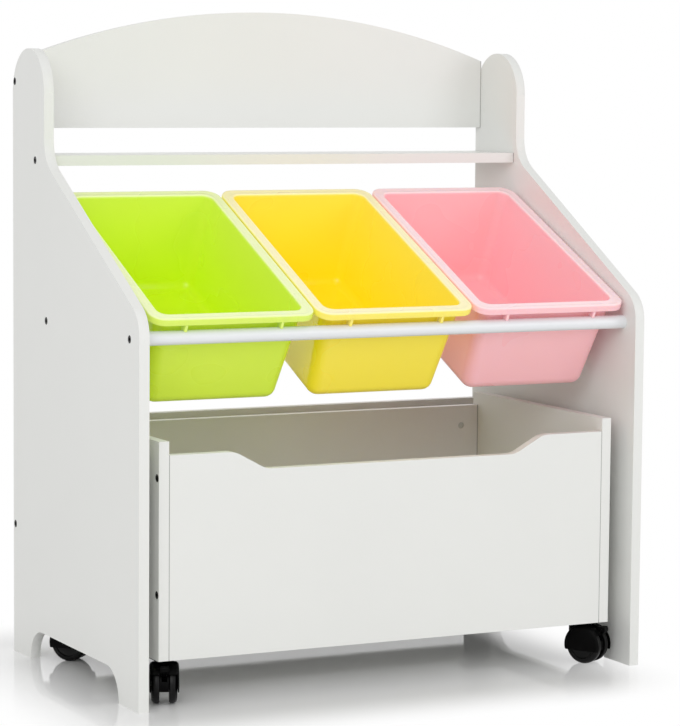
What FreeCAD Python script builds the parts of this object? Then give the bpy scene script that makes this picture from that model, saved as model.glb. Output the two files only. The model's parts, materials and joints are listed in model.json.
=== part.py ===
# Toy storage organizer: a white board unit that carries three lift-off bins on two rods,
# with a box on swivel casters that rolls out from under them.
# Millimetres. +X is to the right, -Y is the front and +Z is up. The origin is the middle
# of the unit's footprint, on the floor.
import FreeCAD, Part
import math
import os

os.makedirs("parts", exist_ok=True)

Vec = FreeCAD.Vector

# ---- driving dimensions -----------------------------------------------------------

# fixed unit
unit_width = 640.0
unit_depth = 388.0
board = 12.0                    # thickness of every board
panel_height = 721.0

# outline of a side panel
shoulder_depth = 103.0          # depth of the narrow upper part, measured from the back
slope_angle = 29.4              # of the sloping front edge above horizontal, degrees
slope_height = 540.4            # height of that edge's line at the middle of the depth
neck_radius = 42.0              # where the upper part runs into the slope
front_corner_radius = 37.0      # where the slope runs into the front edge
foot_depth = 57.0
arch_height = 37.0
arch_radius = 36.0

# boards between the side panels
headboard_bottom = 627.3
headboard_end = 711.3           # height of its top edge at the side panels
headboard_peak = 768.0
shelf_top = 597.3
shelf_depth = 98.0
lower_board_bottom = 42.0
lower_board_top = 280.5

# rods, painted steel tube
rod_diameter = 16.0
rod_wall = 1.2
rod_height = 406.5
front_rod_inset = 28.0          # its middle, from the front edge of the side panels
rod_spacing = 251.3
plug_length = 22.0

# bins, all three alike; they hang close together, a little to the right
bin_width = 199.5
bin_length = 308.0
bin_side_gap = 2.75             # from the right bin to the right side panel
bin_gap = 2.25                  # from one bin to the next
bin_tilt = 24.4                 # the rim rises towards the back, degrees
bin_wall = 2.0
bin_flange = 12.5               # width of the flat rim
bin_skirt = 8.5                 # height of the rim's turned-down edge
bin_draft = 4.5                 # slope of the four walls, degrees
bin_rim_radius = 18.0
bin_rim_edge = 0.9              # rounding of the rim's upper outer edge
bin_corner_radius = 14.0
bin_base_radius = 13.0
bin_front_edge = -15.3          # front end of the rim, along the slope from the front rod
bin_rim_height = 27.6           # the rim above the middle of the front rod
bin_rest_gap = 0.3              # from the bin's floor and lugs to the rods
bin_lug_x = 58.0                # lugs under the rim that rest on the front rod
bin_lug_thickness = 3.0
bin_lug_reach = 6.0             # how far they run down behind the top of the rod

# rolling box
box_width = 577.0
box_depth = 310.0
box_setback = 19.0              # its front face, from the front edge of the side panels
box_underside = 51.0
box_side_top = 294.0
box_front_top = 278.5
grip_height = 257.8             # lowest part of the front's top edge
grip_half_width = 159.0
grip_half_mouth = 197.0
grip_radius = 28.0

# casters
caster_inset = 33.0             # kingpin from the box's front and back faces
caster_side_inset = 20.5        # kingpin from the box's side faces
caster_trail = 13.0
plate_size = 36.0
plate_corner_radius = 4.0
plate_thickness = 2.0
race_radius = 13.0
race_thickness = 1.5
kingpin_radius = 3.5
kingpin_bottom = 33.0
wheel_radius = 22.0
wheel_width = 9.0
wheel_edge_radius = 3.0
wheel_dish_depth = 1.5
wheel_rim_width = 6.0           # of the raised ring round the dish
wheel_hub_radius = 6.5
web_half = 5.0                  # half thickness of the hood's middle web
hood_radius = 24.2
hood_half_width = 16.4
hood_wall = 1.4
hood_cheek = 1.6
hood_edge_radius = 4.5
hood_hem = 16.0                 # height of the hood's lower edge
hood_window_start = 4.0         # open side of the hood, from the axle
hood_window_top = 13.5          # and above the axle
hood_hub_radius = 10.0
hood_boss_radius = 11.0
axle_radius = 3.0
lever_pin_radius = 1.5
lever_width = 5.6
lever_pivot = (23.0, 34.0)      # from the kingpin, along the trail and up
lever_reach = 15.0              # from its pin to the tip of its pad
lever_pad_width = 9.0
lever_pocket_gap = 0.3
caster_headings = {             # way each caster trails at rest, degrees from +X
    "front_left": -112.0,
    "front_right": -60.0,
    "rear_left": 135.0,
    "rear_right": 62.0,
}

# fasteners
bolt_radius = 3.0
bolt_head_radius = 4.5
bolt_head_height = 4.0
bolt_socket = 4.0               # across the flats of the hexagon socket
bolt_socket_depth = 2.5
bolt_reach = 30.0               # how far a bolt runs into the board that it holds
nut_radius = 4.0
nut_length = 9.0
nut_inset = 24.0
dowel_radius = 3.0
dowel_in_panel = 7.0
dowel_in_board = 15.0
screw_radius = 1.5
screw_head_radius = 2.8
screw_head_height = 1.6
screw_reach = 9.0
screw_offset = 14.5             # each way from the kingpin
headboard_bolt_height = 682.4
headboard_dowel_height = 648.0
shelf_bolt_inset = 24.8         # from the shelf's front edge
shelf_dowel_inset = 26.0        # from the back
lower_bolt_height = 154.4
lower_dowel_spacing = 140.0
box_bolt_low = 124.2            # heights of the bolts in the box's front and back
box_bolt_high = 253.4
box_floor_bolt_spacing = 150.0

# clearances
hole_gap = 0.1                  # radial gap round a bolt, dowel or nut in its hole
running_gap = 0.05              # radial gap of a bearing
side_gap = 0.4                  # a wheel to the hood's web or cheek
boss_gap = 0.3                  # the hood's boss to the race above it

# ---- derived positions ------------------------------------------------------------

back_y = unit_depth / 2
front_y = -unit_depth / 2
outer_x = unit_width / 2
inner_x = outer_x - board
shelf_front = back_y - shelf_depth
front_rod_y = front_y + front_rod_inset
rear_rod_y = front_rod_y + rod_spacing
back_board_front = back_y - board
back_board_middle = back_y - board / 2
shelf_middle = shelf_top - board / 2
box_outer_x = box_width / 2
box_inner_x = box_outer_x - board
box_front_y = front_y + box_setback
box_back_y = box_front_y + box_depth
box_middle_y = (box_front_y + box_back_y) / 2
box_floor_top = box_underside + board
box_front_middle = box_front_y + board / 2
box_back_middle = box_back_y - board / 2
box_floor_middle = box_underside + board / 2
plate_bottom = box_underside - plate_thickness
race_bottom = plate_bottom - race_thickness
caster_x = box_outer_x - caster_side_inset
caster_front_y = box_front_y + caster_inset
caster_rear_y = box_back_y - caster_inset
# The bins' floor lies on the rear rod, in the tilted frame of the bins.
tilt_sine = math.sin(math.radians(bin_tilt))
tilt_cosine = math.cos(math.radians(bin_tilt))
rest_radius = rod_diameter / 2 + bin_rest_gap
bin_depth = rod_spacing * tilt_sine + bin_rim_height * tilt_cosine - rest_radius


# ---- helpers ----------------------------------------------------------------------

def block(x_from, x_to, y_from, y_to, z_from, z_to):
    """Rectangular block between two corners."""
    return Part.makeBox(x_to - x_from, y_to - y_from, z_to - z_from, Vec(x_from, y_from, z_from))


def bar(start, end, radius):
    """Round bar from one point to another."""
    return Part.makeCylinder(radius, (end - start).Length, start, end - start)


def rounded_wire(corners, place):
    """Closed outline through flat corners (a, b, radius), laid in space by place(a, b)."""
    points = [Vec(a, b, 0) for a, b, radius in corners]
    cuts = []
    for i, here in enumerate(points):
        radius = corners[i][2]
        if radius == 0:
            cuts.append((here, None, here))
            continue
        before = (points[i - 1] - here).normalize()
        after = (points[(i + 1) % len(points)] - here).normalize()
        half = before.getAngle(after) / 2
        reach = radius / math.tan(half)
        inward = (before + after).normalize()
        middle = here + inward * (radius / math.sin(half) - radius)
        cuts.append((here + before * reach, middle, here + after * reach))
    edges = []
    for i, (start, middle, end) in enumerate(cuts):
        following = cuts[(i + 1) % len(cuts)][0]
        if middle is not None:
            arc = Part.Arc(place(start.x, start.y), place(middle.x, middle.y), place(end.x, end.y))
            edges.append(arc.toShape())
        if end.distanceToPoint(following) > 1e-6:
            line = Part.LineSegment(place(end.x, end.y), place(following.x, following.y))
            edges.append(line.toShape())
    return Part.Wire(edges)


def in_yz(a, b):
    return Vec(0, a, b)


def in_xz(a, b):
    return Vec(a, 0, b)


def slab(corners, place, direction, offset=Vec(0, 0, 0)):
    """Board with a rounded outline, extruded along direction."""
    solid = Part.Face(rounded_wire(corners, place)).extrude(direction)
    solid.translate(offset)
    return solid


def mirrored(shape):
    """The same shape on the other side of the middle plane X = 0."""
    return shape.mirror(Vec(0, 0, 0), Vec(1, 0, 0))


def save(name, shapes):
    """Write one node; several solids make a group."""
    shape = shapes if isinstance(shapes, Part.Shape) else Part.makeCompound(shapes)
    shape.exportStep("parts/" + name + ".step")


def cut_all(shape, tools):
    return shape.cut(Part.makeCompound(tools)) if tools else shape


# ---- joints between boards --------------------------------------------------------
# Each joint is described once, on the right: the outer face of the board that the head
# sits in is at face_x, and the board that it holds ends at face_x - board.

def bolt(face_x, y, z):
    """Connecting bolt with a hexagon socket head, flush with the outer face."""
    head_bottom = face_x - bolt_head_height
    head = bar(Vec(head_bottom, y, z), Vec(face_x, y, z), bolt_head_radius)
    shank = bar(Vec(face_x - board - bolt_reach, y, z), Vec(head_bottom, y, z), bolt_radius)
    flat = bolt_socket / 2
    corner = flat / math.cos(math.radians(30))
    points = []
    for i in range(7):
        turn = math.radians(60 * i)
        points.append(Vec(face_x, y + corner * math.cos(turn), z + corner * math.sin(turn)))
    socket = Part.Face(Part.makePolygon(points)).extrude(Vec(-bolt_socket_depth, 0, 0))
    return head.fuse(shank).cut(socket)


def bolt_hole(face_x, y, z):
    """Room for a bolt in both boards."""
    shank_end = face_x - board - bolt_reach - 2
    shank = bar(Vec(shank_end, y, z), Vec(face_x + 1, y, z), bolt_radius + hole_gap)
    head_from = Vec(face_x - bolt_head_height, y, z)
    head = bar(head_from, Vec(face_x + 1, y, z), bolt_head_radius + hole_gap)
    return shank.fuse(head)


def barrel_nut(face_x, y, z, out):
    """Cross nut that the bolt screws into; out is the way its hole opens."""
    centre = Vec(face_x - board - nut_inset, y, z)
    nut = bar(centre - out * (nut_length / 2), centre + out * (nut_length / 2), nut_radius)
    return nut.cut(bar(centre - Vec(10, 0, 0), centre + Vec(10, 0, 0), bolt_radius))


def barrel_hole(face_x, y, z, out):
    centre = Vec(face_x - board - nut_inset, y, z)
    deep = centre - out * (nut_length / 2 + hole_gap)
    return bar(deep, centre + out * board, nut_radius + hole_gap)


def dowel(face_x, y, z):
    joint_x = face_x - board
    return bar(Vec(joint_x - dowel_in_board, y, z), Vec(joint_x + dowel_in_panel, y, z), dowel_radius)


def dowel_hole(face_x, y, z):
    joint_x = face_x - board
    start = Vec(joint_x - dowel_in_board - 0.5, y, z)
    end = Vec(joint_x + dowel_in_panel + 0.5, y, z)
    return bar(start, end, dowel_radius + hole_gap)


def both_sides(shapes):
    return shapes + [mirrored(shape) for shape in shapes]


BACKWARD = Vec(0, 1, 0)
FORWARD = Vec(0, -1, 0)
DOWNWARD = Vec(0, 0, -1)

# (y, z, way the nut's hole opens)
board_bolts = [
    (back_board_middle, headboard_bolt_height, BACKWARD),
    (shelf_front + shelf_bolt_inset, shelf_middle, DOWNWARD),
    (back_board_middle, lower_bolt_height, BACKWARD),
]
rod_bolts = [(front_rod_y, rod_height), (rear_rod_y, rod_height)]
unit_dowels = [
    (back_board_middle, headboard_dowel_height),
    (back_y - shelf_dowel_inset, shelf_middle),
    (back_board_middle, lower_bolt_height - lower_dowel_spacing / 2),
    (back_board_middle, lower_bolt_height + lower_dowel_spacing / 2),
]
box_bolts = [
    (box_front_middle, box_bolt_low, BACKWARD),
    (box_front_middle, box_bolt_high, BACKWARD),
    (box_back_middle, box_bolt_low, FORWARD),
    (box_back_middle, box_bolt_high, FORWARD),
    (box_middle_y - box_floor_bolt_spacing / 2, box_floor_middle, DOWNWARD),
    (box_middle_y + box_floor_bolt_spacing / 2, box_floor_middle, DOWNWARD),
]
box_dowels = [
    (box_front_middle, (box_bolt_low + box_bolt_high) / 2),
    (box_back_middle, (box_bolt_low + box_bolt_high) / 2),
    (box_middle_y, box_floor_middle),
]

unit_joint_holes = [bolt_hole(outer_x, y, z) for y, z, out in board_bolts]
unit_joint_holes += [bolt_hole(outer_x, y, z) for y, z in rod_bolts]
unit_joint_holes += [dowel_hole(outer_x, y, z) for y, z in unit_dowels]
unit_nut_holes = [barrel_hole(outer_x, y, z, out) for y, z, out in board_bolts]
unit_holes = both_sides(unit_joint_holes + unit_nut_holes)

box_joint_holes = [bolt_hole(box_outer_x, y, z) for y, z, out in box_bolts]
box_joint_holes += [dowel_hole(box_outer_x, y, z) for y, z in box_dowels]
box_nut_holes = [barrel_hole(box_outer_x, y, z, out) for y, z, out in box_bolts]
box_holes = both_sides(box_joint_holes + box_nut_holes)


# ---- fixed unit -------------------------------------------------------------------

def slope_at(y):
    return slope_height + y * math.tan(math.radians(slope_angle))


def side_panel():
    """Right side panel: narrow rounded top, sloping front edge and arched foot."""
    upper_y = back_y - shoulder_depth
    round_top = shoulder_depth / 2
    corners = [
        (back_y, 0, 0),
        (back_y, panel_height, round_top),
        (upper_y, panel_height, round_top),
        (upper_y, slope_at(upper_y), neck_radius),
        (front_y, slope_at(front_y), front_corner_radius),
        (front_y, 0, 0),
        (front_y + foot_depth, 0, 0),
        (front_y + foot_depth, arch_height, arch_radius),
        (back_y - foot_depth, arch_height, arch_radius),
        (back_y - foot_depth, 0, 0),
    ]
    panel = slab(corners, in_yz, Vec(board, 0, 0), Vec(inner_x, 0, 0))
    return cut_all(panel, unit_joint_holes)


def headboard():
    """Board at the back of the top, its upper edge one shallow arc."""
    left_end = Vec(-inner_x, 0, headboard_end)
    right_end = Vec(inner_x, 0, headboard_end)
    left_foot = Vec(-inner_x, 0, headboard_bottom)
    right_foot = Vec(inner_x, 0, headboard_bottom)
    outline = [
        Part.Arc(left_end, Vec(0, 0, headboard_peak), right_end).toShape(),
        Part.LineSegment(right_end, right_foot).toShape(),
        Part.LineSegment(right_foot, left_foot).toShape(),
        Part.LineSegment(left_foot, left_end).toShape(),
    ]
    plate = Part.Face(Part.Wire(outline)).extrude(Vec(0, board, 0))
    plate.translate(Vec(0, back_board_front, 0))
    return cut_all(plate, unit_holes)


def rod(y):
    """Round tube from side panel to side panel."""
    start = Vec(-inner_x, y, rod_height)
    end = Vec(inner_x, y, rod_height)
    return bar(start, end, rod_diameter / 2).cut(bar(start, end, rod_diameter / 2 - rod_wall))


def rod_plug(y):
    """Moulded plug in a rod's right end, which the bolt screws into."""
    start = Vec(inner_x - plug_length, y, rod_height)
    end = Vec(inner_x, y, rod_height)
    return bar(start, end, rod_diameter / 2 - rod_wall).cut(bolt_hole(outer_x, y, rod_height))


def short_bolt(y):
    """Bolt of a rod, which ends inside the plug."""
    whole = bolt(outer_x, y, rod_height)
    end = inner_x - plug_length + 4
    return whole.common(block(end, outer_x + 1, y - 10, y + 10, rod_height - 10, rod_height + 10))


right_panel = side_panel()
save("right_side_panel", right_panel)
save("left_side_panel", mirrored(right_panel))
save("headboard", headboard())
shelf = block(-inner_x, inner_x, shelf_front, back_y, shelf_top - board, shelf_top)
save("top_shelf", cut_all(shelf, unit_holes))
lower_board = block(-inner_x, inner_x, back_board_front, back_y, lower_board_bottom, lower_board_top)
save("lower_back_board", cut_all(lower_board, unit_holes))
save("front_rod", rod(front_rod_y))
save("rear_rod", rod(rear_rod_y))
save("rod_end_plugs", both_sides([rod_plug(y) for y, z in rod_bolts]))
unit_bolts = [bolt(outer_x, y, z) for y, z, out in board_bolts]
unit_bolts += [short_bolt(y) for y, z in rod_bolts]
save("unit_bolts", both_sides(unit_bolts))
save("unit_barrel_nuts", both_sides([barrel_nut(outer_x, y, z, out) for y, z, out in board_bolts]))
save("unit_dowels", both_sides([dowel(outer_x, y, z) for y, z in unit_dowels]))


# ---- bins -------------------------------------------------------------------------
# A bin is drawn level: its rim is the plane Z = 0 and its length runs along Y, with
# Y = 0 straight above the front rod. It is then tilted and moved to its place.

def bin_outline(inset, radius, height):
    """Rounded rectangle, drawn in from the rim's outer edge by inset."""
    half = bin_width / 2 - inset
    near = bin_front_edge + inset
    far = bin_front_edge + bin_length - inset
    corners = [(-half, near, radius), (half, near, radius), (half, far, radius), (-half, far, radius)]
    return rounded_wire(corners, lambda a, b: Vec(a, b, height))


def tapered_body(inset, radius, top, bottom, base_radius):
    """Solid that narrows downwards by the draft, with a rounded bottom edge."""
    draft = math.tan(math.radians(bin_draft))
    upper = bin_outline(inset - top * draft, radius, top)
    lower = bin_outline(inset - bottom * draft, radius, bottom)
    body = Part.makeLoft([upper, lower], True, True)
    base_edges = [edge for edge in body.Edges if abs(edge.BoundBox.ZMax - bottom) < 1e-4]
    return body.makeFillet(base_radius, base_edges)


def rim_edges(shape, inset):
    """Edges of the rim's flat top that run at one inset from its outer edge."""
    half = bin_width / 2 - inset
    length = bin_length - 2 * inset
    found = []
    for edge in shape.Edges:
        box = edge.BoundBox
        level = abs(box.ZMin) < 1e-4 and abs(box.ZMax) < 1e-4
        centre = edge.valueAt((edge.FirstParameter + edge.LastParameter) / 2)
        from_side = half - abs(centre.x)
        from_end = length / 2 - abs(centre.y - bin_front_edge - bin_length / 2)
        near = min(from_side, from_end)
        if level and -1e-3 < near < bin_rim_radius * 0.3:
            found.append(edge)
    return found


def bin_lug(x):
    """Rib between the rim's front edge and the front wall, shaped to the rod below it."""
    rod_centre = Vec(0, -bin_rim_height * tilt_sine, -bin_rim_height * tilt_cosine)
    lowest = rod_centre.z + rest_radius - bin_lug_reach
    rib = block(x - bin_lug_thickness / 2, x + bin_lug_thickness / 2,
                bin_front_edge + bin_wall / 2, bin_front_edge + bin_flange - bin_wall / 2,
                lowest, -bin_wall / 2)
    along = Vec(bin_width, 0, 0)
    return rib.cut(bar(rod_centre - along, rod_centre + along, rest_radius))


def bin_shape():
    wall_inset = bin_flange - bin_wall
    outer = tapered_body(wall_inset, bin_corner_radius, 0, -bin_depth, bin_base_radius)
    cavity = tapered_body(bin_flange, bin_corner_radius - bin_wall, 1.0, bin_wall - bin_depth,
                          bin_base_radius - bin_wall)
    down = Vec(0, 0, -1)
    flange = Part.Face(bin_outline(0, bin_rim_radius, 0)).extrude(down * bin_wall)
    skirt = Part.Face(bin_outline(0, bin_rim_radius, 0)).extrude(down * bin_skirt)
    within = Part.Face(bin_outline(bin_wall, bin_rim_radius - bin_wall, 0)).extrude(down * bin_skirt)
    rim = flange.fuse(skirt.cut(within))
    lugs = bin_lug(-bin_lug_x).fuse(bin_lug(bin_lug_x))
    shell = outer.fuse(rim).fuse(lugs).cut(cavity).removeSplitter()
    return shell.makeFillet(bin_rim_edge, rim_edges(shell, 0))


bin_level = bin_shape()
right_bin_x = inner_x - bin_side_gap - bin_width / 2
for place, name in enumerate(("pink_bin", "yellow_bin", "green_bin")):
    placed = bin_level.copy()
    placed.rotate(Vec(0, 0, 0), Vec(1, 0, 0), bin_tilt)
    bin_x = right_bin_x - place * (bin_width + bin_gap)
    placed.translate(Vec(bin_x, front_rod_y, rod_height + bin_rim_height))
    save(name, placed)


# ---- rolling box ------------------------------------------------------------------

caster_places = {
    "front_left": Vec(-caster_x, caster_front_y, 0),
    "front_right": Vec(caster_x, caster_front_y, 0),
    "rear_left": Vec(-caster_x, caster_rear_y, 0),
    "rear_right": Vec(caster_x, caster_rear_y, 0),
}


def screw_points(place):
    for dx in (-screw_offset, screw_offset):
        for dy in (-screw_offset, screw_offset):
            yield place + Vec(dx, dy, plate_bottom)


def caster_screw(point):
    """Pan-head screw up through the plate into the box's bottom."""
    head = bar(point - Vec(0, 0, screw_head_height), point, screw_head_radius)
    shank = bar(point, point + Vec(0, 0, screw_reach), screw_radius)
    return head.fuse(shank)


def screw_hole(point):
    return bar(point - Vec(0, 0, 1), point + Vec(0, 0, screw_reach + 0.5), screw_radius + hole_gap)


all_screw_points = [point for place in caster_places.values() for point in screw_points(place)]
screw_holes = [screw_hole(point) for point in all_screw_points]

side = block(box_inner_x, box_outer_x, box_front_y, box_back_y, box_underside, box_side_top)
side = cut_all(side, box_joint_holes + screw_holes)
save("box_right_side", side)
save("box_left_side", mirrored(side))

front_corners = [
    (-box_inner_x, box_underside, 0),
    (box_inner_x, box_underside, 0),
    (box_inner_x, box_front_top, 0),
    (grip_half_mouth, box_front_top, grip_radius),
    (grip_half_width, grip_height, grip_radius),
    (-grip_half_width, grip_height, grip_radius),
    (-grip_half_mouth, box_front_top, grip_radius),
    (-box_inner_x, box_front_top, 0),
]
front = slab(front_corners, in_xz, Vec(0, board, 0), Vec(0, box_front_y, 0))
save("box_front", cut_all(front, box_holes))
back = block(-box_inner_x, box_inner_x, box_back_y - board, box_back_y, box_underside, box_front_top)
save("box_back", cut_all(back, box_holes))
bottom = block(-box_inner_x, box_inner_x, box_front_y + board, box_back_y - board,
               box_underside, box_floor_top)
save("box_bottom", cut_all(bottom, box_holes + screw_holes))
save("box_bolts", both_sides([bolt(box_outer_x, y, z) for y, z, out in box_bolts]))
save("box_barrel_nuts", both_sides([barrel_nut(box_outer_x, y, z, out) for y, z, out in box_bolts]))
save("box_dowels", both_sides([dowel(box_outer_x, y, z) for y, z in box_dowels]))
save("caster_screws", [caster_screw(point) for point in all_screw_points])


# ---- casters ----------------------------------------------------------------------
# A caster is drawn with its kingpin on the Z axis and its wheels trailing along +X,
# the axle along Y. It is then turned to its heading and moved to its corner.

axle_centre = Vec(caster_trail, 0, wheel_radius)
wheel_inner = web_half + side_gap
wheel_outer = wheel_inner + wheel_width
cavity_outer = hood_half_width - hood_cheek
beyond = 3 * hood_radius        # past the whole caster, for cuts


def across(radius, y_from, y_to, centre=axle_centre):
    """Disc or bar along Y."""
    return bar(Vec(centre.x, y_from, centre.z), Vec(centre.x, y_to, centre.z), radius)


def lever_point():
    return Vec(lever_pivot[0], 0, lever_pivot[1])


def caster_plate():
    half = plate_size / 2
    plate = block(-half, half, -half, half, plate_bottom, box_underside)
    upright = [edge for edge in plate.Edges if edge.BoundBox.ZLength > plate_thickness / 2]
    plate = plate.makeFillet(plate_corner_radius, upright)
    race = bar(Vec(0, 0, race_bottom), Vec(0, 0, plate_bottom), race_radius)
    kingpin_hole = bar(Vec(0, 0, race_bottom - 1), Vec(0, 0, box_underside + 1), kingpin_radius)
    holes = [kingpin_hole] + [screw_hole(point) for point in screw_points(Vec(0, 0, 0))]
    return cut_all(plate.fuse(race), holes)


def rounded_disc(radius, y_from, y_to, edge_radius, rounded_ends):
    """Disc across the caster; the rim is rounded at the named ends."""
    disc = across(radius, y_from, y_to)
    rims = []
    for edge in disc.Edges:
        box = edge.BoundBox
        if box.YLength < 1e-3 and any(abs(box.YMin - end) < 1e-3 for end in rounded_ends):
            rims.append(edge)
    return disc.makeFillet(edge_radius, rims)


def hood(with_lever):
    """Cover over both wheels, with a web between them that carries kingpin and axle."""
    ends = (-hood_half_width, hood_half_width)
    cover = rounded_disc(hood_radius, *ends, hood_edge_radius, ends)
    cover = cover.cut(block(-beyond, beyond, -beyond, beyond, -beyond, hood_hem))
    hub = across(hood_hub_radius, -web_half, web_half)
    boss_top = race_bottom - boss_gap
    boss = bar(Vec(0, 0, kingpin_bottom - 2), Vec(0, 0, boss_top), hood_boss_radius)
    body = cover.fuse(hub).fuse(boss)
    window = block(caster_trail + hood_window_start, beyond, -cavity_outer, cavity_outer,
                   -beyond, wheel_radius + hood_window_top)
    keep = across(wheel_radius - 3, -web_half, web_half)
    tools = [window.cut(keep)]
    for side_sign in (-1, 1):
        near, far = side_sign * web_half, side_sign * cavity_outer
        low, high = min(near, far), max(near, far)
        tools.append(rounded_disc(hood_radius - hood_wall, low, high, wheel_edge_radius, (far,)))
    tools.append(bar(Vec(0, 0, kingpin_bottom), Vec(0, 0, beyond), kingpin_radius + running_gap))
    tools.append(across(axle_radius, -web_half - 1, web_half + 1))
    if with_lever:
        half = lever_width / 2 + lever_pocket_gap
        pocket = block(lever_pivot[0] - 6, beyond, -half, half, lever_pivot[1] - 7, beyond)
        tools.append(pocket)
        tools.append(across(lever_pin_radius, -web_half - 1, web_half + 1, lever_point()))
    return cut_all(body, tools).removeSplitter()


def wheel(side_sign):
    """One of the two wheels, a plain round-edged disc that turns on the axle."""
    ends = (wheel_inner, wheel_outer)
    disc = rounded_disc(wheel_radius, *ends, wheel_edge_radius, ends)
    dish_bottom = wheel_outer - wheel_dish_depth
    dish = across(wheel_radius - wheel_rim_width, dish_bottom, wheel_outer + 1)
    hub = across(wheel_hub_radius, dish_bottom - 0.1, wheel_outer - 0.2)
    bore = across(axle_radius + running_gap, wheel_inner - 1, wheel_outer + 1)
    disc = disc.cut(dish).fuse(hub).cut(bore).removeSplitter()
    return disc if side_sign > 0 else disc.mirror(Vec(0, 0, 0), Vec(0, 1, 0))


def brake_lever():
    """Arm on a cross pin in the web, ending in a wide pad for the toe."""
    half = lever_width / 2
    x, z = lever_pivot
    tip = x + lever_reach
    eye = across(4.0, -half, half, lever_point())
    arm_corners = [
        (x - 3.4, z + 2.0, 0),
        (x + 3.4, z - 2.0, 0),
        (tip - 6.0, z + 7.6, 3),
        (tip - 2.0, z + 7.6, 0),
        (tip - 2.0, z + 10.6, 0),
        (tip - 10.4, z + 10.6, 3),
    ]
    arm = slab(arm_corners, in_xz, Vec(0, lever_width, 0), Vec(0, -half, 0))
    pad_corners = [
        (tip - 7.0, z + 8.2, 0),
        (tip - 2.6, z + 8.2, 0.8),
        (tip - 2.6, z + 4.6, 0),
        (tip, z + 4.6, 1.2),
        (tip, z + 11.2, 2.2),
        (tip - 7.0, z + 11.2, 0),
    ]
    pad = slab(pad_corners, in_xz, Vec(0, lever_pad_width, 0), Vec(0, -lever_pad_width / 2, 0))
    hole = across(lever_pin_radius + running_gap, -half - 1, half + 1, lever_point())
    return eye.fuse(arm).fuse(pad).cut(hole).removeSplitter()


def caster_pieces(with_lever):
    """Name and shape of every piece of one caster."""
    pieces = {
        "plate": caster_plate(),
        "kingpin": bar(Vec(0, 0, kingpin_bottom + 0.5), Vec(0, 0, box_underside), kingpin_radius),
        "hood": hood(with_lever),
        "axle": across(axle_radius, -wheel_outer, wheel_outer),
        "wheel_a": wheel(-1),
        "wheel_b": wheel(1),
    }
    if with_lever:
        pieces["brake_lever"] = brake_lever()
        pieces["lever_pin"] = across(lever_pin_radius, -web_half, web_half, lever_point())
    return pieces


for corner, place in caster_places.items():
    heading = caster_headings[corner]
    for name, shape in caster_pieces(corner.startswith("front")).items():
        if name != "plate":
            shape.rotate(Vec(0, 0, 0), Vec(0, 0, 1), heading)
        shape.translate(place)
        save("caster_" + corner + "_" + name, shape)
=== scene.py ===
# %% [markdown]
# # A toy storage organizer in Blender
# The object is a white board unit with a headboard, a top shelf and three coloured bins
# that hang between two rods. Under them a box on four swivel casters rolls out.
# The solids come from the CAD model. This script gives them their finish, and rebuilds
# the pieces whose look needs more than a solid: the moulded bins, the bolts and the wheels.

# %% Load the solids
import json
import math

import bmesh
import bpy
from mathutils import Matrix, Vector


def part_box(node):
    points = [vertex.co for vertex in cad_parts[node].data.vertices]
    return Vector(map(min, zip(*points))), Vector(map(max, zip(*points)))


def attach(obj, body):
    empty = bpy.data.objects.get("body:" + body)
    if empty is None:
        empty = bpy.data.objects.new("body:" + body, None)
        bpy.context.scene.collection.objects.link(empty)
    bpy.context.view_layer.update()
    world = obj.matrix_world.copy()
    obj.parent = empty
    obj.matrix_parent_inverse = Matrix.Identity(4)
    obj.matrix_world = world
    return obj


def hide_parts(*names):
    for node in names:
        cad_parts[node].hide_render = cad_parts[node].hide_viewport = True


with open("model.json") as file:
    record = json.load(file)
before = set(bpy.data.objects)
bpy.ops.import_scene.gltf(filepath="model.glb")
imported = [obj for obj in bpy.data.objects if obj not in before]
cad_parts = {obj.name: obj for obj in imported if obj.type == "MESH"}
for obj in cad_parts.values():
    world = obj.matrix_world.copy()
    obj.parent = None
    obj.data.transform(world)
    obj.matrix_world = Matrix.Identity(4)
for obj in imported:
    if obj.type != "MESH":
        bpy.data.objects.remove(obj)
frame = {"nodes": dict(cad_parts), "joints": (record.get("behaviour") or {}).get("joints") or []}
nodes = frame["nodes"]
joints = {joint["name"]: joint for joint in frame["joints"]}
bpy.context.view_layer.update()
MM = 0.001

# %% [markdown]
# ## Where the photograph was taken from
# A camera is a place, three turns and a lens. Here they were solved from straight edges
# measured in the photograph: a long lens, 3.4 m away, to the left of the unit and only a
# little above it. The camera's axes are written as a matrix, because that leaves no
# doubt about the order of the turns.

# %% Camera
def aim(yaw, pitch, roll):
    """Axes of a camera that looks along +Y when every angle is 0."""
    forward = Vector((math.sin(yaw) * math.cos(pitch), math.cos(yaw) * math.cos(pitch),
                      math.sin(pitch)))
    right = Vector((math.cos(yaw), -math.sin(yaw), 0))
    up = right.cross(forward)
    turned_right = math.cos(roll) * right + math.sin(roll) * up
    turned_up = math.cos(roll) * up - math.sin(roll) * right
    return Matrix((turned_right, turned_up, -forward)).transposed()


photo_width, photo_height = 680, 726
lens_middle_x, lens_middle_y = 336.35, 351.49   # pixel that the lens points at
focal_px = 2925.8
sensor_mm = 36
camera_place = (-1.532, -3.0868, 0.698)
yaw, pitch, roll = 0.4643, -0.0957, 0.0084      # radians
camera = bpy.data.objects.new("camera", bpy.data.cameras.new("camera"))
bpy.context.scene.collection.objects.link(camera)
camera.matrix_world = Matrix.Translation(camera_place) @ aim(yaw, pitch, roll).to_4x4()
camera.data.sensor_width = sensor_mm
camera.data.lens = focal_px / photo_height * sensor_mm
camera.data.shift_x = (photo_width / 2 - lens_middle_x) / photo_height
camera.data.shift_y = (lens_middle_y - photo_height / 2) / photo_height
camera.data.clip_end = 50
bpy.context.scene.camera = camera
bpy.context.scene.view_settings.view_transform = "Standard"
print("lens", round(camera.data.lens, 1), "mm")

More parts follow.
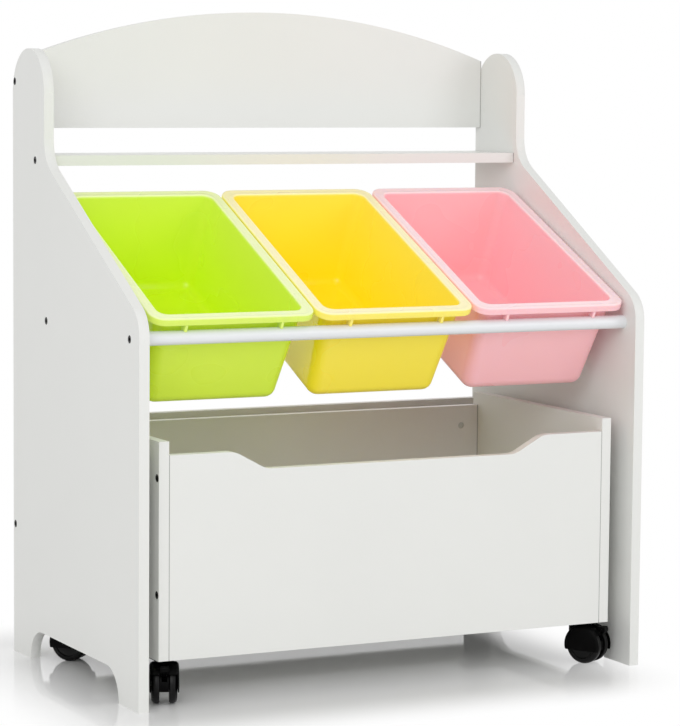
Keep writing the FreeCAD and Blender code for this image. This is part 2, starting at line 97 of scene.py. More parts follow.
# %% [markdown]
# ## Writing a tree as arithmetic
# A shader or geometry tree is a sum on paper, so it is written as one. A `Signal` wraps a
# socket, and adding or multiplying signals adds Math nodes. `Tree.add` makes any other
# node from its type, its settings and the values of its sockets, and works the same in
# both kinds of tree.

# %% Signals and trees
class Signal:
    """The value of a socket in a tree; arithmetic on it adds Math nodes."""

    def __init__(self, tree, socket):
        self.tree = tree
        self.socket = socket

    def math(self, operation, other=None):
        values = {0: self} if other is None else {0: self, 1: other}
        return self.tree.add("ShaderNodeMath", {"operation": operation}, values)

    def __add__(self, other):
        return self.math("ADD", other)

    def __mul__(self, other):
        return self.math("MULTIPLY", other)

    def __sub__(self, other):
        return self.math("SUBTRACT", other)

    __radd__ = __add__

    def beyond(self, limit):
        """How far it is past a limit, 0 before it."""
        return (self - limit).math("MAXIMUM", 0.0)

    def band(self, low, high):
        """0 below low, 1 above high, smooth between."""
        values = {"Value": self, "From Min": low, "From Max": high}
        smooth = {"interpolation_type": "SMOOTHSTEP"}
        return self.tree.add("ShaderNodeMapRange", smooth, values)


class Tree:
    """A node tree in which every node is one call."""

    def __init__(self, nodes_and_links):
        self.inner = nodes_and_links

    def join(self, value, socket):
        for part in value if isinstance(value, list) else [value]:
            if isinstance(part, Signal):
                self.inner.links.new(part.socket, socket)
            else:
                socket.default_value = part

    def add(self, kind, settings=None, values=None, output=0):
        """Any node, with its settings and the values or signals of its sockets."""
        node = self.inner.nodes.new(kind)
        for name, value in (settings or {}).items():
            setattr(node, name, value)
        for name, value in (values or {}).items():
            self.join(value, node.inputs[name])
        return Signal(self, node.outputs[output])


# %% Finishes
class Finish(Tree):
    """One procedural material that ends in a Principled shader."""

    def __init__(self, name, **constants):
        self.material = bpy.data.materials.new(name)
        self.material.use_nodes = True
        super().__init__(self.material.node_tree)
        self.inner.nodes.clear()
        self.shader = self.inner.nodes.new("ShaderNodeBsdfPrincipled")
        self.end = self.inner.nodes.new("ShaderNodeOutputMaterial")
        self.inner.links.new(self.shader.outputs[0], self.end.inputs["Surface"])
        for socket, value in constants.items():
            self.shader.inputs[socket.replace("_", " ")].default_value = value

    def place(self):
        return self.add("ShaderNodeTexCoord", output="Object")

    def noise(self, scale, detail=2.0, rough=0.5, where=None):
        values = {"Vector": where or self.place(), "Scale": scale, "Detail": detail,
                  "Roughness": rough}
        return self.add("ShaderNodeTexNoise", None, values)

    def blend(self, factor, low, high):
        """Colour that goes from low to high with factor."""
        values = {0: factor, 6: low, 7: high}
        return self.add("ShaderNodeMix", {"data_type": "RGBA"}, values, output=2)

    def along(self, direction):
        """How far a point lies along a direction."""
        product = {"operation": "DOT_PRODUCT"}
        return self.add("ShaderNodeVectorMath", product, {0: self.place(), 1: direction}, "Value")

    def marked(self, attribute):
        """A number that the mesh carries at each of its points."""
        return self.add("ShaderNodeAttribute", {"attribute_name": attribute}, output="Fac")

    def bump(self, height, depth):
        return self.add("ShaderNodeBump", None, {"Height": height, "Distance": depth})

    def set(self, **sockets):
        for name, value in sockets.items():
            self.join(value, self.shader.inputs[name.replace("_", " ")])
        return self.material


def grey(value):
    return (value, value, value, 1)


print("a finish starts with", [node.type for node in Finish("trial").inner.nodes])
bpy.data.materials.remove(bpy.data.materials["trial"])


# %% [markdown]
# ## White painted board
# The boards are sawn from fibreboard and rolled with a satin paint. The roller leaves a
# faint orange-peel, about a millimetre across, and the paint dries a little shinier in
# places. Both are noise on Object coordinates: the fine one bends the normal, the coarse
# one moves the roughness. Where a board ends between two others, the shade in the fine
# gap there is painted in: those boards darken in the last millimetre before their ends.

# %% Board and rod paint
GAP_SHADE_START, GAP_SHADE_FULL = 1.1 * MM, 0.5 * MM        # from the end of a board


def board_paint(name, half_length=None):
    paint = Finish(name, Coat_Weight=0.08, Coat_Roughness=0.3)
    peel = paint.noise(900, detail=1.0)
    cloud = paint.noise(6, detail=3.0)
    scuff = paint.noise(60, detail=6.0, rough=0.7).band(0.62, 0.8)
    colour = paint.blend(cloud, (0.80, 0.805, 0.78, 1), (0.84, 0.845, 0.82, 1))
    # Painted shade of the joint: the colour darkens toward near black in the last millimetre before
    # the board's ends.
    if half_length:
        from_middle = paint.along((1, 0, 0)).math("ABSOLUTE")
        painted_gap_shade = from_middle.band(half_length - GAP_SHADE_START, half_length - GAP_SHADE_FULL)
        colour = paint.blend(painted_gap_shade * 0.8, colour, (0.16, 0.155, 0.15, 1))
    roughness = 0.38 + cloud * 0.08 + scuff * 0.06
    return paint.set(Base_Color=colour, Roughness=roughness, Normal=paint.bump(peel, 0.00006))


def tube_paint():
    paint = Finish("tube_paint", Coat_Weight=0.3, Coat_Roughness=0.12)
    cloud = paint.noise(14, detail=2.0)
    colour = paint.blend(cloud, (0.80, 0.82, 0.85, 1), (0.84, 0.86, 0.88, 1))
    bump = paint.bump(paint.noise(1600, detail=1.0), 0.00002)
    return paint.set(Base_Color=colour, Roughness=0.22 + cloud * 0.06, Normal=bump)


half_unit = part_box("headboard")[1][0]
half_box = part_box("box_front")[1][0]
paints = {
    "board": board_paint("board_paint"),
    "between_panels": board_paint("between_panels_paint", half_unit),
    "between_box_sides": board_paint("between_box_sides_paint", half_box),
    "tube": tube_paint(),
}
print("paints", list(paints))


# %% [markdown]
# ## Metals, wood and nylon
# The bolts are blackened steel, the hidden nuts and axles are zinc plated, the dowels are
# beech. The casters are moulded nylon: the hood has a fine eroded grain, the wheels are
# smoother and pick up a little dust.

# %% Small finishes
def blackened_steel():
    steel = Finish("blackened_steel", Metallic=0.7)
    worn = steel.noise(700, detail=4.0, rough=0.65)
    colour = steel.blend(worn.band(0.35, 0.8), grey(0.012), grey(0.05))
    bump = steel.bump(worn, 0.00003)
    return steel.set(Base_Color=colour, Roughness=0.35 + worn * 0.2, Normal=bump)


def zinc_plate():
    zinc = Finish("zinc_plate", Metallic=1.0)
    grain = zinc.noise(900, detail=3.0)
    colour = zinc.blend(grain, (0.50, 0.51, 0.52, 1), (0.68, 0.68, 0.66, 1))
    return zinc.set(Base_Color=colour, Roughness=0.28 + grain * 0.15)


def beech():
    wood = Finish("beech")
    along_grain = {"Vector": wood.place(), "Scale": (12, 160, 160)}
    stretched = wood.add("ShaderNodeMapping", None, along_grain)
    grain = wood.noise(3, detail=4.0, where=stretched)
    colour = wood.blend(grain, (0.42, 0.27, 0.14, 1), (0.62, 0.43, 0.25, 1))
    return wood.set(Base_Color=colour, Roughness=0.55 + grain * 0.1)


def nylon(name, shade, roughness, grain_depth, gloss=0.06):
    moulded = Finish(name, Specular_IOR_Level=gloss)
    grain = moulded.noise(1500, detail=2.0)
    dust = moulded.noise(45, detail=5.0, rough=0.6)
    colour = moulded.blend(dust.band(0.45, 0.85), grey(shade), grey(shade * 2.2))
    bump = moulded.bump(grain, grain_depth)
    return moulded.set(Base_Color=colour, Roughness=roughness + dust * 0.12, Normal=bump)


def pale_plastic():
    plastic = Finish("plug_plastic")
    cloud = plastic.noise(80, detail=2.0)
    colour = plastic.blend(cloud, grey(0.5), grey(0.62))
    return plastic.set(Base_Color=colour, Roughness=0.45 + cloud * 0.1)


small = {
    "bolt": blackened_steel(),
    "zinc": zinc_plate(),
    "beech": beech(),
    "hood": nylon("hood_nylon", 0.0012, 0.36, 0.00003),
    "wheel": nylon("wheel_nylon", 0.0018, 0.30, 0.00001, 0.2),
    "plug": pale_plastic(),
}
print("small finishes", list(small))

# %% [markdown]
# ## Dressing the boards
# A sawn board never has a knife edge: the paint and a pass of sandpaper leave about
# three quarters of a millimetre of round. A real edge is what catches the light, so each
# board gets a Bevel modifier. The solids arrive as loose triangles, so a Weld modifier
# joins them first, and the angle limit keeps the bevel off the flat faces.

# %% Finish for every solid
def paint_node(name, material):
    node = nodes[name]
    node.data.materials.clear()
    node.data.materials.append(material)


def ease_edges(name, width):
    node = nodes[name]
    weld = node.modifiers.new("weld", "WELD")
    weld.merge_threshold = 0.00001
    bevel = node.modifiers.new("eased_edges", "BEVEL")
    bevel.width = width
    bevel.segments = 2
    bevel.limit_method = "ANGLE"
    bevel.angle_limit = math.radians(40)
    bevel.use_clamp_overlap = True
    bevel.harden_normals = True


EASED_EDGE = 0.7 * MM
boards = {
    "board": ("left_side_panel", "right_side_panel", "box_left_side", "box_right_side",
              "box_bottom"),
    "between_panels": ("headboard", "top_shelf", "lower_back_board"),
    "between_box_sides": ("box_front", "box_back"),
}
for paint, names in boards.items():
    for name in names:
        paint_node(name, paints[paint])
        ease_edges(name, EASED_EDGE)
for name in ("front_rod", "rear_rod"):
    paint_node(name, paints["tube"])

small_pieces = {
    "plug": ("rod_end_plugs",),
    "bolt": ("unit_bolts", "box_bolts", "caster_screws"),
    "zinc": ("unit_barrel_nuts", "box_barrel_nuts"),
    "beech": ("unit_dowels", "box_dowels"),
}
for finish, names in small_pieces.items():
    for name in names:
        paint_node(name, small[finish])

caster_endings = {
    "_plate": "bolt", "_kingpin": "bolt", "_axle": "zinc", "_lever_pin": "zinc",
    "_wheel_a": "wheel", "_wheel_b": "wheel", "_hood": "hood", "_brake_lever": "hood",
}
for name in nodes:
    for ending, finish in caster_endings.items():
        if name.endswith(ending):
            paint_node(name, small[finish])
print("dressed", len(nodes), "solids")

# %% [markdown]
# ## The bins
# Each bin is one thin injection moulding: sloping walls, a flat rim whose edge turns down,
# and two lugs under the rim. The wall is the same all the way round, so the bin is a stack
# of rounded rectangles, each with an inset from the rim's edge, a corner radius and a
# height. Skinning the stack gives clean quads that follow the form. The rim's size, the
# depth and the tilt are read from the solid, so that the moulding lies where it does. The
# wall, the flange and the draft are written as the solid has them.

# %% Where a bin lies
lift = Vector(joints["green_bin_lift_off"]["axis"]).normalized()
tilt = math.atan2(-lift.y, lift.z)
uphill = Vector((0, math.cos(tilt), math.sin(tilt)))


def reach(name, direction):
    """Lowest and highest place of a solid along a direction."""
    places = [vertex.co.dot(direction) for vertex in nodes[name].data.vertices]
    return min(places), max(places)


near, far = reach("green_bin", uphill)
base, top = reach("green_bin", lift)
left, right = reach("green_bin", Vector((1, 0, 0)))
rim_size = (right - left, far - near)
bin_depth = top - base
rod_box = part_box("front_rod")
rod_middle = (Vector(rod_box[0]) + Vector(rod_box[1])) / 2
rod_in_bin = (rod_middle.dot(uphill) - (near + far) / 2, rod_middle.dot(lift) - top)
print("tilt", round(math.degrees(tilt), 1), "rim", [round(s * 1000, 1) for s in rim_size],
      "depth", round(bin_depth * 1000, 1))

# %% Skin of a stack of rounded rectangles
CORNER_STEPS = 10


def rounded_ring(inset, radius, height):
    """Points of a rounded rectangle, seen from above, anticlockwise."""
    half_x = rim_size[0] / 2 - inset
    half_y = rim_size[1] / 2 - inset
    points = []
    for quarter, (sx, sy) in enumerate(((1, 1), (-1, 1), (-1, -1), (1, -1))):
        centre = Vector((sx * (half_x - radius), sy * (half_y - radius), height))
        for step in range(CORNER_STEPS + 1):
            turn = math.radians(90) * (quarter + step / CORNER_STEPS)
            points.append(centre + Vector((math.cos(turn), math.sin(turn), 0)) * radius)
    return points


def skin(name, rings):
    """Mesh through rings of equal length; the first and last are capped."""
    mesh = bmesh.new()
    stack = [[mesh.verts.new(point) for point in ring] for ring in rings]
    for lower, upper in zip(stack, stack[1:]):
        for i in range(len(lower)):
            j = (i + 1) % len(lower)
            mesh.faces.new((lower[i], lower[j], upper[j], upper[i]))
    mesh.faces.new(list(reversed(stack[0])))
    mesh.faces.new(stack[-1])
    bmesh.ops.recalc_face_normals(mesh, faces=mesh.faces)
    for face in mesh.faces:
        face.smooth = True
    data = bpy.data.meshes.new(name)
    mesh.to_mesh(data)
    mesh.free()
    return data


def add_piece(name, data, material, body):
    """A finished piece that moves with a body of the frame."""
    piece = bpy.data.objects.new(name, data)
    bpy.context.scene.collection.objects.link(piece)
    data.materials.clear()
    data.materials.append(material)
    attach(piece, body)
    return piece


# %% Section of the moulding
draft = math.tan(math.radians(4.5))
wall, flange, skirt = 2.0, 12.5, 8.5
depth = bin_depth / MM
outer_base, inner_base = 13.0, 11.0             # rounding between the walls and the floor
outer_corner, inner_corner = 14, 12
section = []                    # (inset, corner radius, height, painted light), millimetres


def base_arc(inset, radius, height, corner, pale):
    """Rounded bottom edge between the wall and the floor."""
    arc = []
    for step in range(7):
        turn = math.radians(15) * step
        drawn_in = radius * (1 - math.cos(turn))
        sunk = radius * math.sin(turn)
        arc.append((inset + drawn_in, max(corner - drawn_in, 1.5), height - sunk, pale))
    return arc


outer_foot = flange - wall + (depth - outer_base) * draft
inner_foot = flange + (depth - wall - inner_base) * draft
# The fourth number of each ring is its painted light. It is most on the rim, a little on the outer
# walls, and fades out down the inner wall.
section += reversed(base_arc(outer_foot, outer_base, outer_base - depth, outer_corner, 0.12))
section += [(flange - wall + 3.2 * draft, outer_corner, -3.2, 0.12)]
section += [(flange - wall - 0.4, 14.4, -2.0, 0.12)]
section += [(2.8, 15.2, -2.0, 0.1), (2.0, 16.0, -2.8, 0.1), (2.0, 16.0, 0.5 - skirt, 0.1)]
section += [(1.5, 16.5, -skirt, 0.3), (0.5, 17.5, -skirt, 0.35), (0.0, 18.0, 0.5 - skirt, 0.25)]
section += [(0.0, 18.0, -1.9, 0.25), (0.25, 17.75, -0.9, 0.65), (0.9, 17.1, -0.25, 1)]
section += [(1.9, 16.1, 0.0, 1), (3.4, 15.2, 0.0, 1), (4.0, 14.9, -0.3, 1)]
section += [(8.8, 13.5, -0.3, 1), (9.4, 13.3, 0.0, 1), (10.7, 12.9, 0.0, 1)]
section += [(11.6, 12.5, -0.25, 1), (12.2, 12.2, -0.9, 0.7)]
section += [(flange + 1.9 * draft, inner_corner, -1.9, 0.25)]
section += [(flange + 4 * draft, inner_corner, -4.0, 0.14)]
section += base_arc(inner_foot, inner_base, inner_base + wall - depth, inner_corner, 0)
print("section of", len(section), "rings")

# %% [markdown]
# ## The lugs that hang on the rod
# Two small ribs under the front of each rim are hollowed to sit on the rod. A rib is one
# flat outline given a thickness, so it is drawn as a polygon and bridged to its twin.

# %% Lugs
LUG_PLACES, LUG_HALF_THICKNESS = (-58, 58), 1.5
LUG_REACH, LUG_GAP = 6, 0.35    # how far it straddles the rod, and how loosely
HOLLOW_STEPS = 8


def rib(mesh, outline, x_from, x_to):
    """Flat outline of (y, z) points as a slab between two places on X."""
    sides = [[mesh.verts.new((x * MM, y * MM, z * MM)) for y, z in outline] for x in (x_from, x_to)]
    count = len(outline)
    mesh.faces.new(sides[1])
    mesh.faces.new(list(reversed(sides[0])))
    for i in range(count):
        j = (i + 1) % count
        mesh.faces.new((sides[0][i], sides[0][j], sides[1][j], sides[1][i]))


def lug_outline():
    """From the rim's underside to the rod, between the skirt and the front wall."""
    rod_low, rod_high = reach("front_rod", Vector((0, 0, 1)))
    rest = (rod_high - rod_low) / 2 / MM + LUG_GAP
    rim_front = -rim_size[1] / 2 / MM
    front = rim_front + 1.2         # inside the skirt
    back = rim_front + flange - wall + 0.6
    rod_y, rod_z = [value / MM for value in rod_in_bin]
    lowest = rod_z + rest - LUG_REACH
    first = math.atan2(lowest - rod_z, math.sqrt(rest ** 2 - (lowest - rod_z) ** 2))
    last = math.acos((front - rod_y) / rest)
    hollow = []
    for step in range(HOLLOW_STEPS + 1):
        turn = first + (last - first) * step / HOLLOW_STEPS
        hollow.append((rod_y + rest * math.cos(turn), rod_z + rest * math.sin(turn)))
    under_rim = -1.2
    ends = [(back, hollow[0][1]), (back, under_rim)]
    return [(front, under_rim)] + list(reversed(hollow)) + ends


# %% [markdown]
# ## Moulded plastic that lets light through
# The bins are polypropylene, one colour right through. Where the plastic is backed by
# more plastic it looks deep and warm, and at the rim, where light gets in from both
# sides, it looks pale; that pale light is painted into the colour. A little subsurface
# scattering and a faint painted glow in the emission give the glow, and the mesh carries
# an amount of painted light at each point: most at the rim, a little on the outer front,
# and inside it fades out down the wall.

# %% Bin finishes
def bin_plastic(name, deep, pale):
    # Emission at a tenth of the colour is a painted glow on the moulding, which is no lamp.
    plastic = Finish(name, Specular_IOR_Level=0.5, Subsurface_Weight=0.35,
                     Subsurface_Scale=0.006, Emission_Strength=0.1)
    plastic.shader.inputs["Subsurface Radius"].default_value = (1.0, 0.9, 0.6)
    flow = plastic.noise(9, detail=2.0)
    body = plastic.blend(flow, deep, tuple(0.95 * c for c in deep[:3]) + (1,))
    # The pale colour is painted light, blended in by the amount that the mesh carries.
    colour = plastic.blend(plastic.marked("paleness"), body, pale)
    grain = plastic.noise(1100, detail=1.5)
    roughness = 0.24 + flow * 0.08
    bump = plastic.bump(grain, 0.00002)
    return plastic.set(Base_Color=colour, Roughness=roughness, Normal=bump, Emission_Color=colour)


# Deep colour of the plastic, then the pale colour of the painted light at the rim.
bin_colours = {
    "green_bin": ((0.66, 0.88, 0.015, 1), (0.86, 0.95, 0.50, 1)),
    "yellow_bin": ((1.0, 0.80, 0.015, 1), (1.0, 0.90, 0.52, 1)),
    "pink_bin": ((1.0, 0.51, 0.55, 1), (1.0, 0.72, 0.74, 1)),
}
bin_finishes = {
    name: bin_plastic(name + "_plastic", deep, pale) for name, (deep, pale) in bin_colours.items()
}
print("bin finishes", list(bin_finishes))


# %% The three mouldings
LUG_PAINTED_LIGHT = 0.35
CREASE = math.radians(35)       # a steeper edge stays sharp
OUTER_RINGS = 9                 # rings of the section that lie on the outer walls


def moulding_mesh(name):
    rings = [rounded_ring(*(value * MM for value in place[:3])) for place in section]
    data = skin(name, rings)
    per_ring = len(rings[0])
    mesh = bmesh.new()
    mesh.from_mesh(data)
    for middle in LUG_PLACES:
        rib(mesh, lug_outline(), middle - LUG_HALF_THICKNESS, middle + LUG_HALF_THICKNESS)
    paleness = mesh.verts.layers.float.new("paleness")
    mesh.normal_update()
    for i, vertex in enumerate(mesh.verts):
        ring = i // per_ring
        # Painted light of the ring. On the outer walls it is less where a face turns sideways, so
        # the front reads lighter than the sides.
        pale = section[ring][3] if ring < len(section) else LUG_PAINTED_LIGHT
        faces_sideways = abs(vertex.normal.x) if ring < OUTER_RINGS else 0.0
        vertex[paleness] = pale * (1 - faces_sideways)
    for edge in mesh.edges:
        edge.smooth = edge.calc_face_angle(0) < CREASE
    mesh.to_mesh(data)
    mesh.free()
    return data


middle_y = (near + far) / 2
for name in bin_colours:
    low_x, high_x = reach(name, Vector((1, 0, 0)))
    data = moulding_mesh(name + "_moulding")
    centre = Vector(((low_x + high_x) / 2, 0, 0)) + uphill * middle_y + lift * top
    data.transform(Matrix.Translation(centre) @ Matrix.Rotation(tilt, 4, "X"))
    moulding = add_piece(name + "_moulding", data, bin_finishes[name], name)
    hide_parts(name)
print("made three mouldings of", len(data.polygons), "faces")

# %% [markdown]
# ## Wheels from a turned profile
# A caster wheel is a turned form: a tread with round shoulders, a raised ring round a
# shallow dish, and a hub. Turning one profile round the axle gives exactly that, with
# smooth treads that a solid cut into flat facets can't have. The sizes come from the
# solid, and the joint says where the axle lies.

# %% Wheels
WHEEL_STEPS = 64


def corner(centre_r, centre_t, radius, start, end, steps):
    """Quarter round of a profile of (radius, place along the axle)."""
    points = []
    for step in range(steps + 1):
        turn = math.radians(start + (end - start) * step / steps)
        points.append((centre_r + radius * math.cos(turn), centre_t + radius * math.sin(turn)))
    return points


def wheel_profile(radius, inner, outer):
    """Closed profile, from the bore along the inner face, round the tread and back."""
    inner_round, outer_round = 1.5, 5.0
    bore, hub, ring = 3.05, 7.4, radius - 6.3   # ring: inner edge of the raised side
    profile = [(bore, inner), (hub - 0.4, inner), (hub, inner + 0.3)]
    profile += [(radius - inner_round - 1, inner + 0.3)]
    profile += corner(radius - inner_round, inner + inner_round, inner_round, -90, 0, 4)
    profile += corner(radius - outer_round, outer - outer_round, outer_round, 0, 90, 8)
    profile += [(ring + 0.4, outer), (ring, outer - 0.3), (ring - 0.6, outer - 1.4)]
    profile += [(ring - 1.3, outer - 1.5), (hub, outer - 1.5), (hub - 0.7, outer - 1.3)]
    profile += [(hub - 1, outer - 0.5), (hub - 1.3, outer - 0.2)]
    profile += [(bore + 0.35, outer - 0.2), (bore, outer - 0.5)]
    return profile


def turned(name, profile, centre, axis):
    """Closed mesh of a profile turned round an axis."""
    mesh = bmesh.new()
    stack = []
    for r, t in profile:
        ring = []
        for step in range(WHEEL_STEPS):
            turn = 2 * math.pi * step / WHEEL_STEPS
            point = (r * math.cos(turn) * MM, r * math.sin(turn) * MM, t * MM)
            ring.append(mesh.verts.new(point))
        stack.append(ring)
    for lower, upper in zip(stack, stack[1:] + stack[:1]):
        for i in range(WHEEL_STEPS):
            j = (i + 1) % WHEEL_STEPS
            mesh.faces.new((lower[i], lower[j], upper[j], upper[i]))
    bmesh.ops.recalc_face_normals(mesh, faces=mesh.faces)
    for face in mesh.faces:
        face.smooth = True
    for edge in mesh.edges:
        edge.smooth = edge.calc_face_angle(0) < CREASE
    data = bpy.data.meshes.new(name)
    mesh.to_mesh(data)
    mesh.free()
    upright_to_axis = axis.to_track_quat("Z", "X").to_matrix().to_4x4()
    data.transform(Matrix.Translation(centre) @ upright_to_axis)
    return data


wheel_names = [name for name in nodes if "_wheel_" in name]
for name in wheel_names:
    spin = joints[name + "_spin"]
    centre, axis = Vector(spin["pos_m"]), Vector(spin["axis"]).normalized()
    low, high = [place - centre.dot(axis) for place in reach(name, axis)]
    if low < 0:
        axis, low, high = -axis, -high, -low
    bottom, crown = reach(name, Vector((0, 0, 1)))
    profile = wheel_profile((crown - bottom) / 2 / MM, low / MM, high / MM)
    data = turned(name + "_turned", profile, centre, axis)
    wheel = add_piece(name + "_turned", data, small["wheel"], name)
    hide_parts(name)
print("turned", len(wheel_names), "wheels")

# %% [markdown]
# ## Bolts and screws that grow from points
# The heads of the bolts are all alike: a low cylinder with an eased edge and a hexagon
# socket. Modelling one and placing it on points is what Geometry Nodes are for. The tree
# builds the head, cuts the socket, and puts one on each point, turned the way that the
# point says. A shank of length 1 is scaled by the length that the point carries. The
# instances are realized, because an export keeps only real faces.

# %% A pattern with named sizes
class Pattern(Tree):
    """A geometry tree whose sizes are named inputs."""

    def __init__(self, name, **sizes):
        self.group = bpy.data.node_groups.new(name, "GeometryNodeTree")
        super().__init__(self.group)
        face = self.group.interface
        face.new_socket("Geometry", in_out="INPUT", socket_type="NodeSocketGeometry")
        for size_name, value in sizes.items():
            socket = face.new_socket(size_name, in_out="INPUT", socket_type="NodeSocketFloat")
            socket.default_value = value
        face.new_socket("Geometry", in_out="OUTPUT", socket_type="NodeSocketGeometry")
        self.given = self.group.nodes.new("NodeGroupInput")
        self.result = self.group.nodes.new("NodeGroupOutput")

    def size(self, name):
        return Signal(self, self.given.outputs[name])

    def point_value(self, name, kind):
        return self.add("GeometryNodeInputNamedAttribute", {"data_type": kind}, {"Name": name})

    def grow(self, name, carrier, **sizes):
        """Plain mesh of the pattern on a carrier mesh, with some sizes of its own."""
        holder = bpy.data.objects.new(name, carrier)
        bpy.context.scene.collection.objects.link(holder)
        modifier = holder.modifiers.new("pattern", "NODES")
        modifier.node_group = self.group
        for socket in self.group.interface.items_tree:
            if socket.in_out == "INPUT" and socket.name in sizes:
                modifier[socket.identifier] = sizes[socket.name]
        ready = bpy.context.evaluated_depsgraph_get()
        grown = bpy.data.meshes.new_from_object(holder.evaluated_get(ready), depsgraph=ready)
        holder.modifiers.remove(modifier)
        bpy.data.objects.remove(holder)
        return grown


# %% The bolt pattern
HEXAGON = 0.57735               # its radius, for a width of 1 across the flats
HEAD_HEIGHT = 4 * MM


def vector(tree, x=0.0, y=0.0, z=0.0):
    return tree.add("ShaderNodeCombineXYZ", None, {"X": x, "Y": y, "Z": z})


def rod_shape(tree, sides, radius, length, top=0.0):
    """Upright cylinder whose upper end is at a height."""
    values = {"Vertices": sides, "Radius": radius, "Depth": length}
    body = tree.add("GeometryNodeMeshCylinder", {"fill_type": "NGON"}, values)
    place = {"Geometry": body, "Translation": vector(tree, z=top - length * 0.5)}
    return tree.add("GeometryNodeTransform", None, place)


def bolt_pattern(material):
    bolts = Pattern("bolts", head_radius=4.5 * MM, head_height=HEAD_HEIGHT, shank_radius=3 * MM,
                    socket_width=4 * MM, socket_depth=2.5 * MM, easing=0.4 * MM)
    easing = bolts.size("easing")
    height = bolts.size("head_height")
    values = {"Vertices": 32, "Radius": bolts.size("head_radius"), "Depth": height - easing}
    drum = bolts.inner.nodes.new("GeometryNodeMeshCylinder")
    for name, value in values.items():
        bolts.join(value, drum.inputs[name])
    raised = bolts.inner.nodes.new("GeometryNodeExtrudeMesh")
    bolts.join(Signal(bolts, drum.outputs["Mesh"]), raised.inputs["Mesh"])
    bolts.join(Signal(bolts, drum.outputs["Top"]), raised.inputs["Selection"])
    bolts.join(easing, raised.inputs["Offset Scale"])
    values = {"Geometry": Signal(bolts, raised.outputs["Mesh"]),
              "Selection": Signal(bolts, raised.outputs["Top"]), "Scale": 0.9}
    eased = bolts.add("GeometryNodeScaleElements", {"domain": "FACE"}, values)
    sunk = vector(bolts, z=(height + easing) * -0.5)
    head = bolts.add("GeometryNodeTransform", None, {"Geometry": eased, "Translation": sunk})
    cut_depth = bolts.size("socket_depth")
    key = rod_shape(bolts, 6, bolts.size("socket_width") * HEXAGON, cut_depth * 2, cut_depth)
    values = {"Mesh 1": head, "Mesh 2": [key]}
    cut = bolts.add("GeometryNodeMeshBoolean", {"operation": "DIFFERENCE"}, values)
    way = bolts.point_value("way", "FLOAT_VECTOR")
    upright_to_way = {"axis": "Z"}
    turned_to = bolts.add("FunctionNodeAlignRotationToVector", upright_to_way, {"Vector": way})
    points = Signal(bolts, bolts.given.outputs["Geometry"])
    heads = bolts.add("GeometryNodeInstanceOnPoints", None,
                      {"Points": points, "Instance": cut, "Rotation": turned_to})
    shank = rod_shape(bolts, 20, bolts.size("shank_radius"), 1.0)
    stretch = vector(bolts, 1.0, 1.0, bolts.point_value("length", "FLOAT"))
    values = {0: way, "Scale": height * -1}
    under = bolts.add("ShaderNodeVectorMath", {"operation": "SCALE"}, values)
    under_heads = bolts.add("GeometryNodeSetPosition", None, {"Geometry": points, "Offset": under})
    values = {"Points": under_heads, "Instance": shank, "Rotation": turned_to, "Scale": stretch}
    shanks = bolts.add("GeometryNodeInstanceOnPoints", None, values)
    joined = bolts.add("GeometryNodeJoinGeometry", None, {"Geometry": [heads, shanks]})
    real = bolts.add("GeometryNodeRealizeInstances", None, {"Geometry": joined})
    done = bolts.add("GeometryNodeSetMaterial", None, {"Geometry": real, "Material": material})
    bolts.join(done, bolts.result.inputs["Geometry"])
    return bolts


# %% Points for the bolts
def loose_solids(name):
    """Boxes of the separate solids of a node, as (low corner, high corner)."""
    mesh = bmesh.new()
    mesh.from_mesh(nodes[name].data)
    bmesh.ops.remove_doubles(mesh, verts=mesh.verts, dist=0.00001)
    boxes, unseen = [], set(mesh.verts)
    while unseen:
        edge_of_group = [unseen.pop()]
        group = list(edge_of_group)
        while edge_of_group:
            for edge in edge_of_group.pop().link_edges:
                for vertex in edge.verts:
                    if vertex in unseen:
                        unseen.remove(vertex)
                        edge_of_group.append(vertex)
                        group.append(vertex)
        low = Vector([min(vertex.co[i] for vertex in group) for i in range(3)])
        high = Vector([max(vertex.co[i] for vertex in group) for i in range(3)])
        boxes.append((low, high))
    mesh.free()
    return sorted(boxes, key=lambda box: tuple(round(value, 4) for value in box[0]))


def bolt_points(name, head_height):
    """Mesh of one point on each bolt's head, with its way and its shank's length."""
    places, ways, lengths = [], [], []
    for low, high in loose_solids(name):
        middle = (low + high) / 2
        if name == "caster_screws":
            way, top_place = Vector((0, 0, -1)), Vector((middle.x, middle.y, low.z))
            length = high.z - low.z
        else:
            way = Vector((math.copysign(1, middle.x), 0, 0))
            top_place = Vector((high.x if way.x > 0 else low.x, middle.y, middle.z))
            length = high.x - low.x
        places.append(top_place)
        ways.append(way)
        lengths.append(length - head_height)
    data = bpy.data.meshes.new(name + "_points")
    data.from_pydata(places, [], [])
    data.attributes.new("way", "FLOAT_VECTOR", "POINT")
    data.attributes.new("length", "FLOAT", "POINT")
    data.attributes["way"].data.foreach_set("vector", [value for way in ways for value in way])
    data.attributes["length"].data.foreach_set("value", lengths)
    return data


bolts = bolt_pattern(small["bolt"])
screw_sizes = {"head_radius": 2.8 * MM, "head_height": 1.6 * MM, "shank_radius": 1.5 * MM,
               "socket_width": 2.0 * MM, "socket_depth": 0.9 * MM, "easing": 0.5 * MM}
for name, body, slot, sizes in (
    ("unit_bolts", "unit", "dark_bolt", {}),
    ("box_bolts", "rolling_box", "dark_bolt", {}),
    ("caster_screws", "rolling_box", "black_steel", screw_sizes),
):
    carrier = bolt_points(name, sizes.get("head_height", HEAD_HEIGHT))
    grown = bolts.grow(name + "_grown", carrier, **sizes)
    piece = add_piece(name + "_grown", grown, small["bolt"], body)
    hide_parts(name)
    print(name, len(carrier.vertices), "points,", len(grown.polygons), "faces")

# %% [markdown]
# ## Floor and light
# A studio sweep: the floor is a smooth white sheet that mirrors a little at a low angle,
# and past the object it fades to white for the camera, as an overexposed backdrop does.
# Near the object it stays an ordinary surface, so the shadow is real. Big soft lamps and
# a pale sky keep the light even, at a level where a colour renders about as it is written.

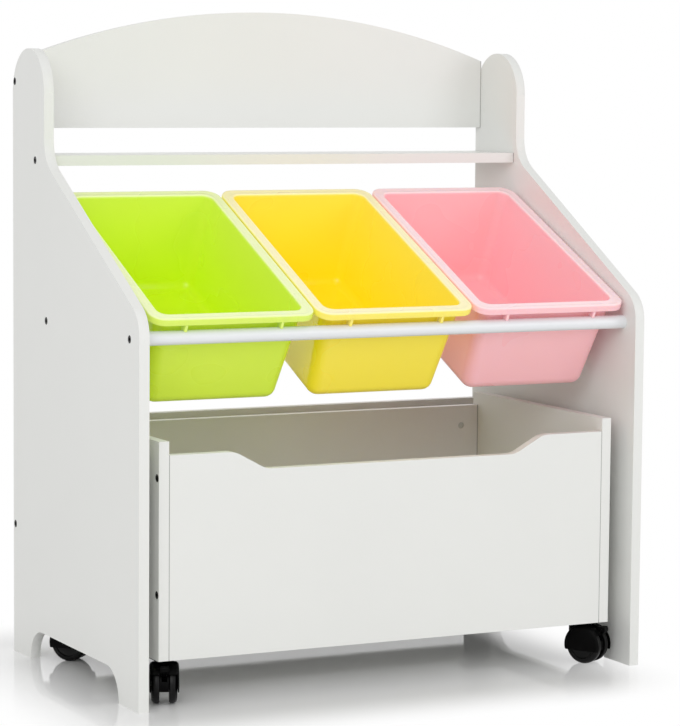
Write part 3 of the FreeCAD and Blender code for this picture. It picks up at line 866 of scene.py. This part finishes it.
# %% Studio
def studio_floor():
    sheet = Finish("studio_floor", Roughness=0.05, Specular_IOR_Level=0.45)
    cloud = sheet.noise(1.5)
    sheet.set(Base_Color=sheet.blend(cloud, grey(0.91), grey(0.94)))
    middle_x, half_x, half_y, fade = -0.055, 0.27, 0.22, 0.14
    past_side = (sheet.along((1, 0, 0)) - middle_x).math("ABSOLUTE").beyond(half_x)
    past_front = sheet.along((0, 1, 0)).math("ABSOLUTE").beyond(half_y)
    away = (past_side * past_side + past_front * past_front).math("SQRT").band(0.0, fade)
    seen = sheet.add("ShaderNodeLightPath", output="Is Camera Ray")
    glossy = sheet.add("ShaderNodeLightPath", output="Is Glossy Ray")
    glow = sheet.add("ShaderNodeEmission")
    surface = Signal(sheet, sheet.shader.outputs[0])
    mixed = sheet.add("ShaderNodeMixShader", None, {0: away * (seen + glossy), 1: surface, 2: glow})
    sheet.join(mixed, sheet.end.inputs["Surface"])
    return sheet.material


floor_data = bpy.data.meshes.new("floor")
far_off = 12.0
floor_corners = [(x * far_off, y * far_off, 0) for x, y in ((-1, -1), (1, -1), (1, 1), (-1, 1))]
floor_data.from_pydata(floor_corners, [], [(0, 1, 2, 3)])
floor = bpy.data.objects.new("floor", floor_data)
bpy.context.scene.collection.objects.link(floor)
floor_data.materials.append(studio_floor())

sky_light, sky_seen = 0.72, 1.0         # on the object, and straight or in a reflection
world = bpy.data.worlds.new("sky")
bpy.context.scene.world = world
world.use_nodes = True
sky = world.node_tree.nodes["Background"]
path = world.node_tree.nodes.new("ShaderNodeLightPath")
direct = world.node_tree.nodes.new("ShaderNodeMath")
direct.operation = "MAXIMUM"
world.node_tree.links.new(path.outputs["Is Camera Ray"], direct.inputs[0])
world.node_tree.links.new(path.outputs["Is Glossy Ray"], direct.inputs[1])
level = world.node_tree.nodes.new("ShaderNodeMapRange")
level.inputs["To Min"].default_value = sky_light
level.inputs["To Max"].default_value = sky_seen
world.node_tree.links.new(direct.outputs[0], level.inputs["Value"])
world.node_tree.links.new(level.outputs[0], sky.inputs["Strength"])
sky.inputs["Color"].default_value = (1, 1, 1, 1)


def softbox(name, place, target, size_x, size_y, power):
    lamp = bpy.data.lights.new(name, "AREA")
    lamp.shape = "RECTANGLE"
    lamp.size, lamp.size_y, lamp.energy = size_x, size_y, power
    holder = bpy.data.objects.new(name, lamp)
    bpy.context.scene.collection.objects.link(holder)
    holder.location = place
    holder.rotation_euler = (Vector(target) - Vector(place)).to_track_quat("-Z", "Y").to_euler()


lit_place = (0, 0, 0.35)
softbox("key", (-1.9, -2.4, 1.7), lit_place, 1.8, 1.4, 24)
softbox("fill", (1.8, -2.6, 1.0), lit_place, 1.6, 1.6, 12)
print("studio is lit")
